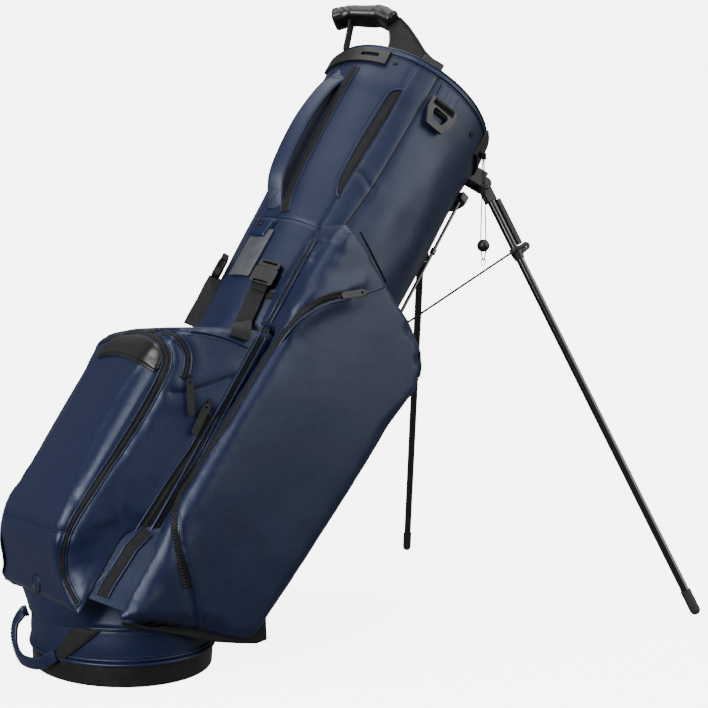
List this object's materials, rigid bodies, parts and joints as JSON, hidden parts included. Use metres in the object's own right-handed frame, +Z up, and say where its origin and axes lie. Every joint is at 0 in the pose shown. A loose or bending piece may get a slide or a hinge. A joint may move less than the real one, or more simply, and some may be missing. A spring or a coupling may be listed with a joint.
{
  "type": "golf stand bag",
  "caption": "Leaning golf stand bag with a padded tube, divided mouth, zipped pockets, hinged base, carry handles and two folding legs.",
  "frame": {"origin": "centre of the foot of the base, on the floor", "axes": "+Z up; +X the way the bag leans, towards its legs; the legs spread towards -Y and +Y"},
  "size_m": [0.8775, 0.6412, 0.8857],
  "materials": {
    "navy_leather": "smooth grained polyurethane leather, satin",
    "black_leather": "padded grained leather",
    "black_webbing": "woven nylon webbing",
    "black_moulding": "moulded nylon, fine texture",
    "leg_enamel": "gloss black enamel on aluminium tube",
    "foot_rubber": "moulded rubber",
    "steel": "plain steel",
    "dark_metal": "blackened zinc",
    "grey_metal": "brushed and anodised",
    "lining": "brushed polyester lining",
    "stay_rod": "pultruded glass fibre",
    "cord": "braided elastic cord"
  },
  "bodies": {
    "bag": {"ball_pocket": "navy_leather", "base_gusset": "lining", "buckle_socket_far": "black_moulding", "buckle_socket_near": "black_moulding", "buckle_webbing": "black_webbing", "club_divider": "black_moulding", "cord_anchor": "black_moulding", "cuff_rivets": "dark_metal", "divider_panels": "lining", "far_pocket": "navy_leather", "grab_handle": "navy_leather", "handle_anchor": "black_moulding", "lanyard_cord": "cord", "lanyard_ring": "steel", "lanyard_tab": "black_webbing", "leg_bracket": "black_moulding", "leg_cord_far": "cord", "leg_cord_near": "cord", "leg_pins": "dark_metal", "lower_ring": "black_moulding", "rim_plate": "black_moulding", "rod_guides": "black_moulding", "shell_tube": "navy_leather", "side_pocket": "navy_leather", "spine_plate": "grey_metal", "spine_stays": "stay_rod", "top_cuff": "navy_leather", "top_handle_grip": "black_leather", "top_handle_straps": "black_webbing", "towel_tab": "navy_leather"},
    "base": {"base_cup": "black_moulding", "base_collar": "navy_leather", "base_pad": "lining", "base_loop": "navy_leather", "base_webbing": "black_webbing", "base_hinge_pins": "dark_metal"},
    "rods": {"actuator_rods": "leg_enamel", "rod_yoke": "black_moulding"},
    "leg_near": {"leg_near_knuckle": "black_moulding", "leg_near_tube": "leg_enamel", "leg_near_arm": "black_moulding", "leg_near_collar": "black_moulding", "leg_near_foot": "foot_rubber"},
    "leg_far": {"leg_far_knuckle": "black_moulding", "leg_far_tube": "leg_enamel", "leg_far_arm": "black_moulding", "leg_far_collar": "black_moulding", "leg_far_foot": "foot_rubber"},
    "towel_ring": {"towel_ring": "black_moulding"},
    "toggle": {"lanyard_toggle": "black_moulding"},
    "slider_ball_upper": {"zip_slider_ball_upper": "dark_metal"},
    "pull_ball_upper": {"zip_pull_ball_upper": "black_leather"},
    "slider_ball_lower": {"zip_slider_ball_lower": "dark_metal"},
    "pull_ball_lower": {"zip_pull_ball_lower": "black_leather"},
    "slider_side": {"zip_slider_side": "dark_metal"},
    "pull_side": {"zip_pull_side": "black_leather"},
    "plug_near": {"buckle_plug_near": "black_moulding"},
    "plug_far": {"buckle_plug_far": "black_moulding"}
  },
  "joints": [
    {"name": "leg_near_hinge", "type": "hinge", "parent": "bag", "child": "leg_near", "pos_m": [0.56038, -0.0669, 0.62713], "axis": [0.3798, 0.8923, -0.2439], "range_deg": [0, 52.15], "deforming": ["leg_cord_near", "leg_cord_far", "base_gusset", "base_loop", "base_webbing"]},
    {"name": "leg_far_hinge", "type": "hinge", "parent": "bag", "child": "leg_far", "pos_m": [0.56038, 0.0669, 0.62713], "axis": [-0.3798, 0.8923, 0.2439], "range_deg": [0, 52.15]},
    {"name": "base_hinge", "type": "hinge", "parent": "bag", "child": "base", "pos_m": [0.06, 0, 0.02], "axis": [0, 1, 0], "range_deg": [0, 32.7]},
    {"name": "rod_slide", "type": "slide", "parent": "bag", "child": "rods", "axis": [0.5681, 0, 0.823], "range_m": [-0.027, 0]},
    {"name": "towel_ring_swing", "type": "hinge", "parent": "bag", "child": "towel_ring", "pos_m": [0.4243, -0.1263, 0.71651], "axis": [0.8299, -0.1654, -0.5328], "range_deg": [-120, 0]},
    {"name": "toggle_slide", "type": "slide", "parent": "bag", "child": "toggle", "axis": [0, 0, 1], "range_m": [0, 0.06]},
    {"name": "zip_ball_upper_slide", "type": "slide", "parent": "bag", "child": "slider_ball_upper", "axis": [0.5402, 0, 0.8415], "range_m": [0, 0.04]},
    {"name": "zip_ball_upper_pull", "type": "hinge", "parent": "slider_ball_upper", "child": "pull_ball_upper", "pos_m": [0.03103, -0.11075, 0.34927], "axis": [0.9731, -0.2303, 0], "range_deg": [-120, 0]},
    {"name": "zip_ball_lower_slide", "type": "slide", "parent": "bag", "child": "slider_ball_lower", "axis": [0.5402, 0, 0.8415], "range_m": [-0.12, 0]},
    {"name": "zip_ball_lower_pull", "type": "hinge", "parent": "slider_ball_lower", "child": "pull_ball_lower", "pos_m": [0.0507, -0.12195, 0.31882], "axis": [0.8351, -0.2704, -0.479], "range_deg": [-120, 0]},
    {"name": "zip_side_slide", "type": "slide", "parent": "bag", "child": "slider_side", "axis": [-0.9755, 0, -0.22], "range_m": [0, 0.05]},
    {"name": "zip_side_pull", "type": "hinge", "parent": "slider_side", "child": "pull_side", "pos_m": [0.25988, -0.157, 0.45428], "axis": [0.1504, 0, -0.9886], "range_deg": [-120, 0]},
    {"name": "buckle_near_release", "type": "slide", "parent": "bag", "child": "plug_near", "axis": [0.5402, 0, 0.8415], "range_m": [0, 0.03]},
    {"name": "buckle_far_release", "type": "slide", "parent": "bag", "child": "plug_far", "axis": [0.5402, 0, 0.8415], "range_m": [0, 0.03]}
  ],
  "couplings": [
    {"joint": "leg_far_hinge", "follows": "leg_near_hinge", "ratio": 1},
    {"joint": "base_hinge", "follows": "leg_near_hinge", "ratio": 0.627},
    {"joint": "rod_slide", "follows": "leg_near_hinge", "m_per_rad": -0.0295}
  ]
}
